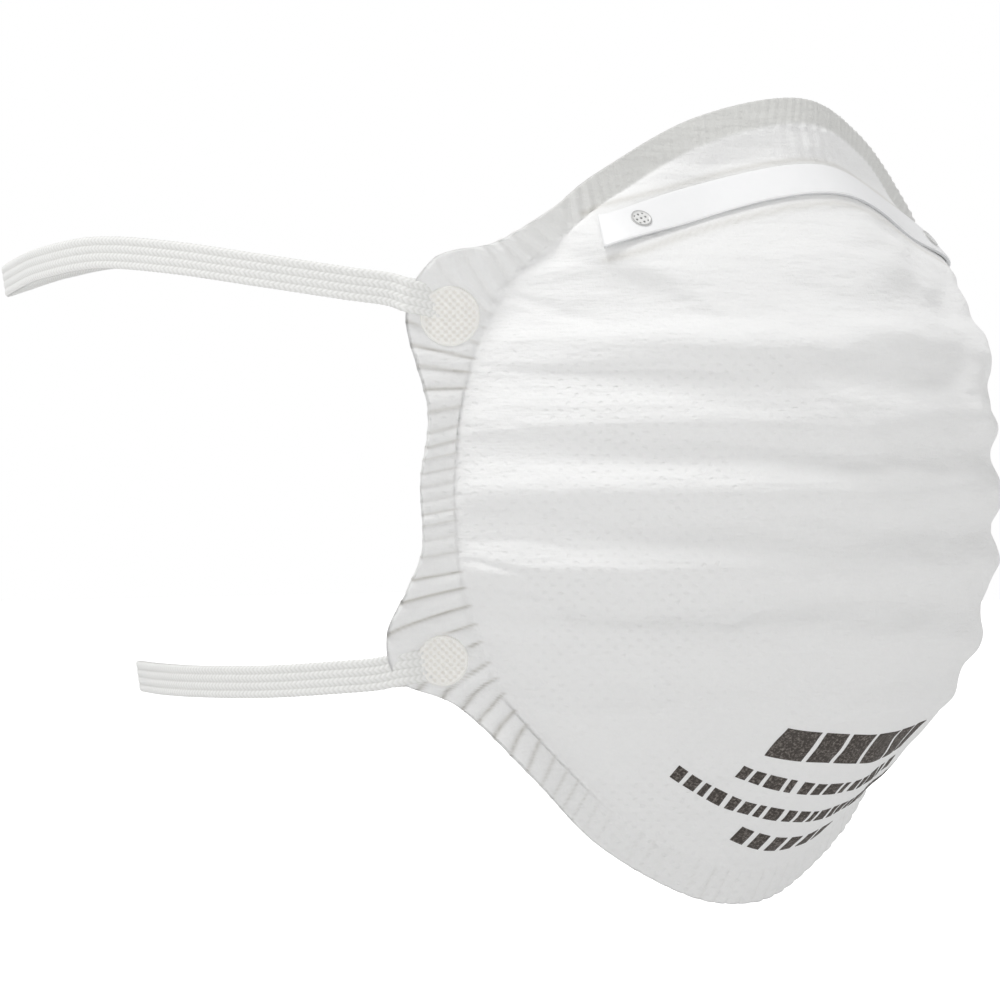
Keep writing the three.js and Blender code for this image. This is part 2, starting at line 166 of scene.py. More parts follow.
def make_camera():
    """A level camera half-way between the mask's front and its right side, a little long."""
    data = bpy.data.cameras.new("camera")
    data.lens = 150.2
    data.sensor_width = 36
    camera = bpy.data.objects.new("camera", data)
    camera.location = (-0.5288, -0.4612, 0)
    camera.rotation_euler = (math.radians(90), 0, math.radians(-45))
    bpy.context.collection.objects.link(camera)
    bpy.context.scene.camera = camera


# ---- the cup's surface ----


def both_halves(column):
    """The stations' values all the way round: the +X half, then the -X half back to the nose."""
    half = [np.array(station[column], float) for station in RIM]
    back = half[-2:0:-1]
    if half[0].shape:
        back = [value * (-1, 1, 1) for value in back]
    return np.array(half + back)


ROOT_POINTS, EDGE_POINTS, CRIMP_PITCH, CRIMP_RISE = (both_halves(column) for column in range(4))


def hump(value):
    """A round hump, 1 at value 0 and almost nothing past 2."""
    return np.exp(-(value ** 2))


def smoothstep(value, low, high):
    share = np.clip((value - low) / (high - low), 0, 1)
    return share * share * (3 - 2 * share)


def hermite(a, b, slope_a, slope_b, f):
    """The smooth curve from a to b with these slopes, at a share f of the way."""
    bend = (2 * a - 2 * b + slope_a + slope_b) * f + 3 * b - 3 * a - 2 * slope_a - slope_b
    return (bend * f + slope_a) * f + a


def round_rim(values, turn):
    """A smooth closed line through the stations' values, at turns from 0 to 1."""
    place = (np.asarray(turn, float) % 1.0) * len(values)
    index = np.floor(place).astype(int) % len(values)
    f = place - np.floor(place)
    if values.ndim > 1:
        f = f[..., None]
    before, a, b, after = (values[(index + k) % len(values)] for k in (-1, 0, 1, 2))
    return hermite(a, b, (b - before) / 2, (after - a) / 2, f)


def look_up(values, share):
    """A smooth curve through evenly spaced values, at a share of its length."""
    values = np.array(values, float)
    last = len(values) - 1
    place = np.clip(share, 0, 1) * last
    index = np.minimum(np.floor(place).astype(int), last - 1)
    a = values[index]
    b = values[index + 1]
    slope_a = (b - values[np.maximum(index - 1, 0)]) / 2
    slope_b = (values[np.minimum(index + 2, last)] - a) / 2
    return hermite(a, b, slope_a, slope_b, place - index)


def cheek_profile(share):
    back = 1 - np.sqrt(1 - (CHEEK_REACH * share) ** 2)
    return back / (1 - math.sqrt(1 - CHEEK_REACH ** 2))


def face(turn, reach):
    """Points of the smooth outer face: reach is 0 at the apex, 1 at the root, 2 at the edge."""
    turn, reach = np.broadcast_arrays(np.asarray(turn, float), np.asarray(reach, float))
    root = round_rim(ROOT_POINTS, turn)
    edge = round_rim(EDGE_POINTS, turn)
    share = np.clip(reach, 0, 1)
    climb = (root[..., 2] - APEX_Z) / np.hypot(root[..., 0], root[..., 2] - APEX_Z)
    ends = np.where(climb > 0, look_up(NOSE_PROFILE, share), look_up(CHIN_PROFILE, share))
    weight = smoothstep(np.abs(climb), BLEND_START, 1)
    profile = cheek_profile(share) * (1 - weight) + ends * weight
    even = np.mean([round_rim(ROOT_POINTS, turn + 0.007 * k)[..., 1] for k in range(-4, 5)], axis=0)
    root_y = even + (root[..., 1] - even) * smoothstep(share, 0.7, 0.99)
    cup = np.stack([
        root[..., 0] * share,
        APEX_Y + (root_y - APEX_Y) * profile,
        APEX_Z + (root[..., 2] - APEX_Z) * share,
    ], axis=-1)
    past = np.clip(reach - 1, 0, None)[..., None]
    return cup + (edge - root) * past


def unit(vectors):
    return vectors / np.maximum(np.linalg.norm(vectors, axis=-1, keepdims=True), 1e-9)


def face_normal(turn, reach):
    """Outward unit normals of the smooth outer face."""
    turn, reach = np.broadcast_arrays(np.asarray(turn, float), np.asarray(reach, float))
    step = 0.003
    safe = np.maximum(reach, 0.02)
    out = face(turn, safe + step) - face(turn, safe - step)
    around = face(turn + step, safe) - face(turn - step, safe)
    normal = unit(np.cross(around, out))
    near = smoothstep(reach, 0.01, 0.05)[..., None]
    return unit(normal * near + np.array([0, -1, 0]) * (1 - near))


def locate(x, z):
    """The turn and reach of the face in front of places (x, z)."""
    x, z = np.broadcast_arrays(np.asarray(x, float), np.asarray(z, float))
    wanted = np.arctan2(np.abs(x), z - APEX_Z)
    low = np.zeros(x.shape)
    high = np.full(x.shape, 0.5)
    for _ in range(36):
        middle = (low + high) / 2
        root = round_rim(ROOT_POINTS, middle)
        short = np.arctan2(root[..., 0], root[..., 2] - APEX_Z) < wanted
        low = np.where(short, middle, low)
        high = np.where(short, high, middle)
    root = round_rim(ROOT_POINTS, low)
    reach = np.hypot(x, z - APEX_Z) / np.hypot(root[..., 0], root[..., 2] - APEX_Z)
    return np.where(x < 0, 1 - low, low), reach


# ---- relief: what the moulding, the crimping and the handling leave on the surface ----


def waves(seed, count, scale, x, z):
    """Gentle unevenness between -1 and 1 or so: a seeded sum of waves scale long, flat in x."""
    rng = np.random.default_rng(seed)
    total = np.zeros(np.broadcast(x, z).shape)
    for _ in range(count):
        angle = rng.uniform(0, math.pi)
        size = 2 * math.pi / (scale * rng.uniform(0.6, 1.6))
        phase = rng.uniform(0, 2 * math.pi)
        total += np.sin(size * (0.45 * math.cos(angle) * x + math.sin(angle) * z) + phase)
    return total / math.sqrt(count)


def rib_height(z):
    """Heights of the moulded ribs, with round ridges and furrows."""
    places = np.array([place for place, _ in RIBS], float)
    heights = np.array([height for _, height in RIBS], float)
    index = np.clip(np.searchsorted(places, z) - 1, 0, len(RIBS) - 2)
    share = (z - places[index]) / (places[index + 1] - places[index])
    return heights[index] + (heights[index + 1] - heights[index]) * smoothstep(share, 0, 1)


def crease_depth(side, z):
    """How deep the creases cut at places on the side of the cup."""
    depth = np.zeros(np.shape(side))
    for (side_a, z_a), (side_b, z_b), width, deep in CREASES:
        along = np.clip((side_a - side) / (side_a - side_b), 0, 1)
        bow = 0.5 * np.sin(along * math.pi * 2 + z_a)
        off = z - (z_a + (z_b - z_a) * along + bow)
        within = smoothstep(side, side_b - 1, side_b + 8) * smoothstep(-side, -side_a - 6, -side_a)
        depth += deep * within * hump(off / (width / 2))
    return depth


def clip_z(x):
    return CLIP["top"] - CLIP["fall"] * (np.hypot(x, CLIP["bend"]) - CLIP["bend"])


def cup_relief(base):
    """Relief of the cup, in mm outwards, at points of the smooth face."""
    x, y, z = base[..., 0], base[..., 1], base[..., 2]
    side = (np.abs(x) + y) / ROOT2
    drift = 0.9 * waves(3, 7, 30, x + 0.6 * y, z)
    front = 1 - 0.5 * smoothstep(side, 22, 50)
    height = rib_height(z + drift * 0.6 + 0.015 * np.abs(x)) * front
    height += 0.23 * waves(5, 18, 9, x + 0.5 * y, z) + 0.07 * waves(8, 22, 4.2, x + 0.5 * y, z)
    height -= crease_depth(side, z)
    return np.clip(height, -0.4, 1.7)


def clip_seat(base):
    """Weight, 0 to 1, of the band pressed flat under the nose clip."""
    x, z = base[..., 0], base[..., 2]
    off = np.abs(z - clip_z(x)) * 0.8
    inside = 1 - smoothstep(np.abs(x), CLIP["half"] + 0.6, CLIP["half"] + 3)
    return inside * (1 - smoothstep(off, CLIP["width"] / 2 - 0.6, CLIP["width"] / 2 + 1.6))


def from_nose(turn):
    """The turn counted from the nose, 0, to the chin, 0.5, on either half."""
    return np.minimum(turn % 1.0, 1 - turn % 1.0)


class Crimps:
    """The crimps pressed into the flange: their lines run from the root to the edge."""

    SAMPLES = 6800
    NOSE_SLANT = 1.4  # crimps by which a line shifts on its way out, the same way all over the nose
    SLANT = [  # the same for the +X side, mirrored on the other
        (0.0, 0.0), (0.1, 0.0), (0.128, -1.6), (0.155, -1.7), (0.178, -0.3), (0.2, 0.0), (0.28, 0.0),
        (0.295, 0.35), (0.313, 1.0), (0.335, 2.0), (0.36, 2.6), (0.375, 2.3), (0.39, 1.7), (0.41, 1.1),
        (0.45, 0.8), (0.5, 0.0),
    ]

    def __init__(self):
        self.turns = np.linspace(0, 1, self.SAMPLES + 1)
        middle = (round_rim(ROOT_POINTS, self.turns) + round_rim(EDGE_POINTS, self.turns)) / 2
        steps = np.linalg.norm(np.diff(middle, axis=0), axis=1)
        pitch = round_rim(CRIMP_PITCH, (self.turns[1:] + self.turns[:-1]) / 2)
        angle = self.turns[1:] * 2 * math.pi
        wander = 1 + 0.22 * np.sin(angle * 23) * np.sin(angle * 7 + 1)
        count = np.concatenate([[0], np.cumsum(steps / pitch * wander)])
        self.total = round(count[-1])
        self.count = count * self.total / count[-1]
        self.strength = np.random.default_rng(11).uniform(0.7, 1.1, self.total)

    def phase(self, turn, reach):
        """The place within a crimp, from 0 to 1, and which crimp it is."""
        turn = turn % 1.0
        mirrored = from_nose(turn)
        slant = np.interp(mirrored, *zip(*self.SLANT)) * np.where(turn < 0.5, 1, -1)
        slant = slant + self.NOSE_SLANT * (1 - smoothstep(mirrored, 0.07, 0.11))
        place = np.interp(turn, self.turns, self.count) - slant * (reach - 1.5)
        index = np.floor(place).astype(int) % self.total
        return place - np.floor(place), index

    def height(self, turn, reach):
        """How far the crimps stand up, and how much painted shade darkens the groove beside each."""
        share, index = self.phase(turn, reach)
        rise = round_rim(CRIMP_RISE, turn) * self.strength[index]
        pitch = round_rim(CRIMP_PITCH, turn)
        gap = np.minimum(share, 1 - share) * pitch
        sharp = smoothstep(from_nose(turn), 0.155, 0.19)
        round_top = np.sin(math.pi * share ** 0.8) ** 0.55
        wave_top = 0.5 - 0.5 * np.cos(2 * math.pi * share)
        # Painted shade: the narrow groove beside each crimp is darkened, most where the crimps are sharp
        # and tall.
        dark = hump(gap / 0.3) * smoothstep(rise, 0.25, 0.7) * (0.12 + 0.88 * sharp)
        return rise * (round_top * sharp + wave_top * (1 - sharp)), dark


CRIMPS = Crimps()


def pad_seat(base):
    """Weight, 0 to 1, of the places pressed flat under the weld pads."""
    weight = np.zeros(base.shape[:-1])
    for pad in (UPPER_PAD, LOWER_PAD):
        for turn in (pad["turn"], 1 - pad["turn"]):
            away = np.linalg.norm(base - face(turn, pad["reach"]), axis=-1)
            flat = 1 - smoothstep(away, pad["radius"] - 0.2, pad["radius"] + 0.7)
            weight = np.maximum(weight, flat)
    return weight


def from_root(base, turn, reach):
    """Distance in mm out past the root along the flange, or less than 0 on the cup."""
    root = round_rim(ROOT_POINTS, turn)
    width = np.linalg.norm(round_rim(EDGE_POINTS, turn) - root, axis=-1)
    return np.where(reach < 1, -np.linalg.norm(base - root, axis=-1), (reach - 1) * width)


def clip_edge(base):
    """How much painted shade darkens the thin furrow along the clip's edges."""
    x, z = base[..., 0], base[..., 2]
    off = np.abs(z - clip_z(x)) * 0.86 - CLIP["width"] / 2
    beside = 1 - smoothstep(np.abs(x), CLIP["half"], CLIP["half"] + 1)
    return 0.6 * hump((off - 0.1) / 0.45) * beside


def relief(turn, reach):
    """The face's points, normals, relief in mm, painted shade in the grooves and pressed weight."""
    base = face(turn, reach)
    normal = face_normal(turn, reach)
    height, dark = CRIMPS.height(turn, reach)
    past = from_root(base, turn, reach)
    crimped = smoothstep(past, -0.9, 0.5)
    cup = cup_relief(base) * (1 - 0.6 * smoothstep(past, -5, 0))
    cup = cup + np.exp(np.minimum(past, 0) / 1.6) * (height - 0.3) * 0.2
    x, z = base[..., 0], base[..., 2]
    nose = hump(x / 9) * smoothstep(z, 54.5, 57)
    cup = cup + nose * 0.35 * np.sin(x * 2 * math.pi / 2.9 + z * 0.35)
    seat = clip_seat(base) * (1 - crimped)
    cup = cup * (1 - seat) + 0.82 * seat
    seats = pad_seat(base)
    flange = height * (1 - seats) + 0.1 * seats
    total = cup * (1 - crimped) + flange * crimped
    # Painted shade: the crimps' grooves, off the weld pads, and the furrow beside the clip are darkened.
    dark = np.maximum(dark * crimped * (1 - seats), clip_edge(base))
    nose_band = np.exp(-((from_nose(turn) / 0.1) ** 4))
    pressed = smoothstep(past, -0.4, 0.5) * (0.03 + 0.97 * nose_band)
    return base, normal, total, dark, pressed


# ---- meshes ----


def mesh_object(name, points, faces, material, body, tones=None):
    """An object from points in mm, which rides on a body; tones are named values per point."""
    mesh = bpy.data.meshes.new(name)
    mesh.from_pydata((np.asarray(points) * MM).tolist(), [], faces)
    mesh.validate()
    mesh.polygons.foreach_set("use_smooth", [True] * len(mesh.polygons))
    for key, values in (tones or {}).items():
        layer = mesh.attributes.new(key, "FLOAT", "POINT")
        layer.data.foreach_set("value", np.asarray(values, np.float32))
    mesh.materials.append(material)
    piece = bpy.data.objects.new(name, mesh)
    bpy.context.collection.objects.link(piece)
    if body:
        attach(piece, body)
    return piece


def ring_faces(a, count_a, b, count_b):
    """Faces from the ring that starts at vertex a to the one at b, of equal, half or double count."""
    count = min(count_a, count_b)
    step_a, step_b = count_a // count, count_b // count
    faces = []
    for i in range(count):
        near = [a + (i * step_a + k) % count_a for k in range(step_a + 1)]
        far = [b + (i * step_b + k) % count_b for k in range(step_b, -1, -1)]
        faces.append((*near, *far))
    return faces


def ring_mesh(rings, pole_a, pole_b):
    """Points and faces of a closed skin: rings between two poles, with turns evenly spaced."""
    counts = [len(ring) for ring in rings]
    starts = np.cumsum([1] + counts).tolist()
    faces = [(0, starts[0] + (i + 1) % counts[0], starts[0] + i) for i in range(counts[0])]
    for k in range(len(rings) - 1):
        faces += ring_faces(starts[k], counts[k], starts[k + 1], counts[k + 1])
    end, last, count = starts[-1], starts[-2], counts[-1]
    faces += [(end, last + i, last + (i + 1) % count) for i in range(count)]
    return np.concatenate([[pole_a], *rings, [pole_b]]), faces


CUP_RINGS = 100
FLANGE_RINGS = 17


def columns_at(reach):
    """How many columns a ring of the fine side has, doubling outwards."""
    limits = (0.07, 0.16, 0.4, 0.988)
    return 80 * 2 ** sum(reach >= limit for limit in limits)


def fine_rings():
    """(reach, columns) for every ring of a seen side, evenly spaced over the bulging cup."""
    whole = math.asin(CHEEK_REACH)
    cup = [math.sin(whole * k / CUP_RINGS) / CHEEK_REACH for k in range(2, CUP_RINGS)]
    flange = [1 + k / FLANGE_RINGS for k in range(FLANGE_RINGS + 1)]
    return [(reach, columns_at(reach)) for reach in cup + flange]


def coarse_rings():
    """(reach, columns) for every ring of a hidden side, from the apex out."""
    rings = [(0.04 + 0.05 * k, 80) for k in range(4)]
    rings += [(0.25 + 0.75 * math.sin(math.pi / 2 * k / 14), 160) for k in range(14)]
    rings += [(1.0, 160), (1.1, 320), (1.3, 320), (1.45, 640), (1.6, 640), (1.8, 1280), (1.92, 1280)]
    return rings


def layer_mesh(outer_rings, inner_rings, outer_at, inner_at):
    """A thin layer of the cup from its two faces; each face function gives points and tones.

    The outer side's rings run from the apex to the edge, and the inner side's back again.
    """
    poles = []
    samples = []
    for rings, place in ((outer_rings, outer_at), (inner_rings[::-1], inner_at)):
        poles.append(place(np.zeros(1), np.zeros(1)))
        samples += [place(np.arange(count) / count, np.full(count, reach)) for reach, count in rings]
    points, faces = ring_mesh([points for points, _, _ in samples], poles[0][0][0], poles[1][0][0])
    ordered = [poles[0], *samples, poles[1]]
    # The painted shade of the grooves goes on as a tone per point, with the pressed weight.
    tones = {
        "painted_shade": np.concatenate([dark for _, dark, _ in ordered]),
        "pressed": np.concatenate([press for _, _, press in ordered]),
    }
    return points, faces, tones


def cover_outside(turn, reach):
    base, normal, height, dark, pressed = relief(turn, reach)
    return base + normal * height[..., None], dark, pressed


def cover_inside(turn, reach):
    base, normal, height, dark, pressed = relief(turn, reach)
    lift = height * smoothstep(reach, 1.4, 1.55)
    return base + normal * (lift - COVER_THICKNESS)[..., None], dark * 0, pressed


def liner_depth(reach):
    return LINER_DEPTH + (LINER_EDGE_DEPTH - LINER_DEPTH) * smoothstep(reach, 1.37, 1.7)


def liner_outside(turn, reach):
    base, normal, height, dark, pressed = relief(turn, reach)
    lift = height * smoothstep(reach, 1.45, 1.7)
    return base + normal * (lift - liner_depth(reach))[..., None], dark * 0, pressed


def foam_seat(base):
    """Weight, 0 to 1, of the liner behind the nose foam, which stays smooth."""
    x, z = base[..., 0], base[..., 2]
    middle = (FOAM["low"] + FOAM["high"]) / 2 - FOAM["drop"] * (x / FOAM["half"]) ** 2
    within = 1 - smoothstep(np.abs(x), FOAM["half"], FOAM["half"] + 4)
    return within * (1 - smoothstep(np.abs(z - middle), 7, 11))


def liner_inside(turn, reach):
    base, normal, height, dark, pressed = relief(turn, reach)
    crimped = smoothstep(reach, 1.45, 1.7)
    sunk = (1.0 - np.clip(height, 0, 1)) * 0.75 * (1 - foam_seat(base)) * (1 - crimped)
    sunk = sunk * (1 - 0.8 * smoothstep(from_root(base, turn, reach), -5, 0))
    lift = height * crimped - sunk
    depth = liner_depth(reach) + LINER_THICKNESS
    return base + normal * (lift - depth)[..., None], dark * crimped, pressed


# ---- materials ----


class Nodes:
    """A short way to write a material's nodes."""

    def __init__(self, name, color, roughness, **sockets):
        self.material = bpy.data.materials.new(name)
        self.material.use_nodes = True
        self.tree = self.material.node_tree
        self.shader = self.tree.nodes["Principled BSDF"]
        self.shader.inputs["Base Color"].default_value = (*color, 1)
        self.shader.inputs["Roughness"].default_value = roughness
        for key, value in sockets.items():
            self.shader.inputs[key.replace("_", " ")].default_value = value

    def add(self, kind, **settings):
        node = self.tree.nodes.new(kind)
        for key, value in settings.items():
            setattr(node, key, value)
        return node

    def feed(self, socket, value):
        if isinstance(value, bpy.types.NodeSocket):
            self.tree.links.new(value, socket)
        else:
            socket.default_value = value

    def math(self, operation, *values):
        node = self.add("ShaderNodeMath", operation=operation)
        for socket, value in zip(node.inputs, values):
            self.feed(socket, value)
        return node.outputs[0]

    def times(self, a, b):
        return self.math("MULTIPLY", a, b)

    def cell(self, value):
        """The place within a repeating cell, from -0.5 to 0.5."""
        return self.math("SUBTRACT", self.math("FRACT", value), 0.5)

    def ramp(self, value, low, high, to_low=0.0, to_high=1.0):
        """The value taken smoothly from between low and high to between to_low and to_high."""
        node = self.add("ShaderNodeMapRange", interpolation_type="SMOOTHSTEP")
        for socket, number in zip(node.inputs, (value, low, high, to_low, to_high)):
            self.feed(socket, number)
        return node.outputs[0]

    def place(self):
        """The place on the piece in millimetres, as a vector."""
        coordinates = self.add("ShaderNodeTexCoord")
        scale = self.add("ShaderNodeVectorMath", operation="SCALE")
        self.feed(scale.inputs[0], coordinates.outputs["Object"])
        scale.inputs["Scale"].default_value = 1 / MM
        return scale.outputs[0]

    def split(self, vector):
        node = self.add("ShaderNodeSeparateXYZ")
        self.feed(node.inputs[0], vector)
        return node.outputs

    def vector(self, x, y, z):
        node = self.add("ShaderNodeCombineXYZ")
        for socket, value in zip(node.inputs, (x, y, z)):
            self.feed(socket, value)
        return node.outputs[0]

    def noise(self, vector, scale, detail=3.0, roughness=0.55):
        node = self.add("ShaderNodeTexNoise")
        self.feed(node.inputs["Vector"], vector)
        node.inputs["Scale"].default_value = scale
        node.inputs["Detail"].default_value = detail
        node.inputs["Roughness"].default_value = roughness
        return node.outputs["Fac"]

    def mix(self, factor, a, b):
        node = self.add("ShaderNodeMix", data_type="RGBA")
        self.feed(node.inputs["Factor"], factor)
        for socket, value in ((node.inputs["A"], a), (node.inputs["B"], b)):
            self.feed(socket, value if isinstance(value, bpy.types.NodeSocket) else (*value, 1))
        return node.outputs["Result"]

    def attribute(self, name):
        return self.add("ShaderNodeAttribute", attribute_name=name).outputs["Fac"]

    def color(self, value):
        """Sets the surface's colour, or feeds it from a socket."""
        self.feed(self.shader.inputs["Base Color"], value)

    def bump(self, height, distance, strength=1.0):
        """Adds a bump of this height in mm on top of any before it."""
        node = self.add("ShaderNodeBump")
        node.inputs["Strength"].default_value = strength
        node.inputs["Distance"].default_value = distance * MM
        self.feed(node.inputs["Height"], height)
        before = self.shader.inputs["Normal"].links
        if before:
            self.feed(node.inputs["Normal"], before[0].from_socket)
        self.feed(self.shader.inputs["Normal"], node.outputs[0])


def bond_points(nodes, side, z):
    """Staggered oval dimples of point-bonded nonwoven: 1 at a dimple's middle, 0 between."""
    row = nodes.math("DIVIDE", z, BOND_ROW)
    odd = nodes.times(nodes.math("FLOORED_MODULO", nodes.math("FLOOR", row), 2.0), 0.5)
    place = nodes.math("ADD", nodes.math("DIVIDE", side, BOND_PITCH), odd)
    across = nodes.times(nodes.cell(place), BOND_PITCH / 0.62)
    up = nodes.times(nodes.cell(row), BOND_ROW / 0.4)
    squares = nodes.math("ADD", nodes.math("POWER", across, 2.0), nodes.math("POWER", up, 2.0))
    return nodes.ramp(nodes.math("SQRT", squares), 0.25, 1.0, 1.0, 0.0)


def nonwoven(name, color, dimple, fuzz):
    """White point-bonded nonwoven: dimples and felted fibres, with painted shade in the dimples and
    grooves.
    """
    nodes = Nodes(name, color, 0.9, Sheen_Weight=0.25, Sheen_Roughness=0.6, Specular_IOR_Level=0.25)
    place = nodes.place()
    x, y, z = nodes.split(place)
    wobble = nodes.times(nodes.noise(place, 0.35, 3.0), 1.8)
    side = nodes.math("ADD", nodes.math("ABSOLUTE", x), nodes.math("ADD", y, wobble))
    side = nodes.times(side, 1 / ROOT2)
    points = bond_points(nodes, side, nodes.math("ADD", z, wobble))
    pressed = nodes.attribute("pressed")
    clear = nodes.ramp(side, -12.0, 14.0, 0.15, 1.0)
    patchy = nodes.ramp(nodes.noise(place, 0.06, 2.0), 0.35, 0.65, 0.25, 1.0)
    clear = nodes.times(clear, patchy)
    clear = nodes.times(clear, nodes.ramp(z, 18.0, 38.0, 1.0, 0.12))
    unpressed = nodes.math("SUBTRACT", 1.0, nodes.times(pressed, 0.6))
    points = nodes.times(points, nodes.times(clear, unpressed))
    fibres = nodes.noise(nodes.vector(x, y, nodes.times(z, 0.3)), 2.6, 5.0, 0.7)
    # Painted shade: the bond dimples are darkened, most on the cheeks and low down, patchily, and less on
    # the pressed rim.
    light = nodes.mix(nodes.times(points, dimple), color, tuple(value * 0.9 for value in color))
    light = nodes.mix(nodes.ramp(fibres, 0.3, 0.7, 0.0, 0.3), light, tuple(value * 0.95 for value in color))
    rim = nodes.mix(nodes.times(pressed, 0.8), light, (0.66, 0.66, 0.635))
    # Painted shade: a brownish darkening along the crimps' grooves and the clip's furrow.
    painted_shade = nodes.times(nodes.attribute("painted_shade"), 0.5)
    nodes.color(nodes.mix(painted_shade, rim, (0.42, 0.39, 0.32)))
    long_x = nodes.times(x, 0.22)
    long_y = nodes.times(y, 0.22)
    nodes.bump(nodes.noise(nodes.vector(long_x, long_y, z), 0.5, 3.0), 0.45)
    nodes.bump(nodes.noise(place, 0.9, 4.0, 0.6), fuzz * 0.5, 0.6)
    nodes.bump(fibres, fuzz, 0.5)
    nodes.bump(nodes.math("SUBTRACT", 1.0, points), 0.08)
    return nodes.material


def hidden_web(name, color):
    """The felted fibre of a layer inside the cup."""
    nodes = Nodes(name, color, 0.95, Sheen_Weight=0.2)
    fibres = nodes.noise(nodes.place(), 1.6, 5.0, 0.7)
    nodes.color(nodes.mix(fibres, color, tuple(value * 0.9 for value in color)))
    nodes.bump(fibres, 0.2)
    return nodes.material


def painted_metal(name):
    """Satin white paint on thin aluminium, a little uneven, with painted shade darkening its edges low
    down.
    """
    nodes = Nodes(name, (0.93, 0.935, 0.94), 0.42, Specular_IOR_Level=0.5)
    place = nodes.place()
    cloud = nodes.noise(place, 0.25, 2.0)
    paint = nodes.mix(cloud, (0.95, 0.95, 0.955), (0.9, 0.905, 0.91))
    # Painted shade: the edges low down are darkened to grey.
    edge = nodes.times(nodes.attribute("painted_shade"), 0.6)
    nodes.color(nodes.mix(edge, paint, (0.5, 0.51, 0.52)))
    nodes.feed(nodes.shader.inputs["Roughness"], nodes.ramp(cloud, 0.2, 0.8, 0.36, 0.5))
    nodes.bump(nodes.noise(place, 1.2, 2.0), 0.03)
    return nodes.material


def stake_plastic(name):
    """Melted fibre pressed through the clip's holes: pale and half glossy, with painted shade in its pits
    and rim.
    """
    nodes = Nodes(name, (0.55, 0.55, 0.54), 0.35)
    nodes.color(nodes.mix(nodes.attribute("painted_shade"), (0.8, 0.8, 0.79), (0.1, 0.1, 0.1)))
    nodes.bump(nodes.noise(nodes.place(), 3.0, 2.0), 0.05)
    return nodes.material


def foam_material(name):
    """Open-cell foam, light grey, with its cells as fine pits darkened with painted shade."""
    nodes = Nodes(name, (0.7, 0.71, 0.72), 0.95, Sheen_Weight=0.1)
    cells = nodes.add("ShaderNodeTexVoronoi", feature="F1")
    nodes.feed(cells.inputs["Vector"], nodes.place())
    cells.inputs["Scale"].default_value = 1.5
    pit = nodes.ramp(cells.outputs["Distance"], 0.0, 0.55, 1.0, 0.0)
    # Painted shade: the cells are darkened to a mid grey.
    nodes.color(nodes.mix(pit, (0.74, 0.75, 0.76), (0.42, 0.43, 0.45)))
    nodes.bump(nodes.math("SUBTRACT", 1.0, pit), 0.35)
    return nodes.material


def weld_material(name):
    """Ivory, pressed and fused fibre, its knurling's pits darkened with painted shade."""
    nodes = Nodes(name, (0.84, 0.81, 0.74), 0.55, Sheen_Weight=0.15)
    grain = nodes.noise(nodes.place(), 2.5, 4.0)
    base = nodes.mix(grain, (0.97, 0.96, 0.93), (0.94, 0.925, 0.885))
    # Painted shade: the knurling's pits are darkened towards a dull brownish ivory.
    pit = nodes.times(nodes.attribute("painted_shade"), 0.35)
    nodes.color(nodes.mix(pit, base, (0.72, 0.68, 0.6)))
    nodes.bump(grain, 0.08)
    return nodes.material


def elastic_material(name):
    """Knitted elastic: chevron stitches along each rib, with painted shade darkening the furrows between
    ribs.
    """
    nodes = Nodes(name, (0.84, 0.84, 0.83), 0.8, Sheen_Weight=0.3, Sheen_Roughness=0.5)
    rib = nodes.math("ABSOLUTE", nodes.cell(nodes.attribute("across")))
    rows = nodes.math("DIVIDE", nodes.attribute("along"), STITCH_PITCH)
    lean = nodes.cell(nodes.math("ADD", rows, nodes.times(rib, 1.3)))
    stitch = nodes.ramp(nodes.math("ABSOLUTE", lean), 0.04, 0.4)
    # Painted shade: the furrows between the ribs are darkened.
    furrow = nodes.times(nodes.ramp(rib, 0.34, 0.5), 0.35)
    fuzz = nodes.noise(nodes.place(), 3.0, 4.0)
    base = nodes.mix(stitch, (0.8, 0.8, 0.775), (0.9, 0.9, 0.885))
    base = nodes.mix(furrow, base, (0.7, 0.7, 0.67))
    nodes.color(nodes.mix(nodes.times(fuzz, 0.2), base, (0.86, 0.855, 0.84)))
    nodes.bump(fuzz, 0.03)
    nodes.bump(stitch, 0.04)
    return nodes.material


def ink(name):
    """Dark, slightly patchy printing ink that has sunk into the fibres."""
    nodes = Nodes(name, (0.06, 0.05, 0.045), 0.85)
    speck = nodes.noise(nodes.place(), 2.2, 4.0, 0.7)
    nodes.color(nodes.mix(nodes.ramp(speck, 0.45, 0.72), (0.055, 0.046, 0.04), (0.26, 0.235, 0.21)))
    nodes.bump(speck, 0.1)
    return nodes.material


def floor_material(name):
    """Pale, even floor, glowing a little further out so that it runs into the backdrop."""
    nodes = Nodes(name, (0.78, 0.78, 0.78), 0.9)
    coordinates = nodes.add("ShaderNodeTexCoord")
    length = nodes.add("ShaderNodeVectorMath", operation="LENGTH")
    nodes.feed(length.inputs[0], coordinates.outputs["Object"])
    glow = nodes.ramp(length.outputs["Value"], 0.4, 0.9, 0.0, 1.0)
    nodes.feed(nodes.shader.inputs["Emission Strength"], glow)
    nodes.shader.inputs["Emission Color"].default_value = (1, 1, 1, 1)
    return nodes.material


# ---- cup layers ----


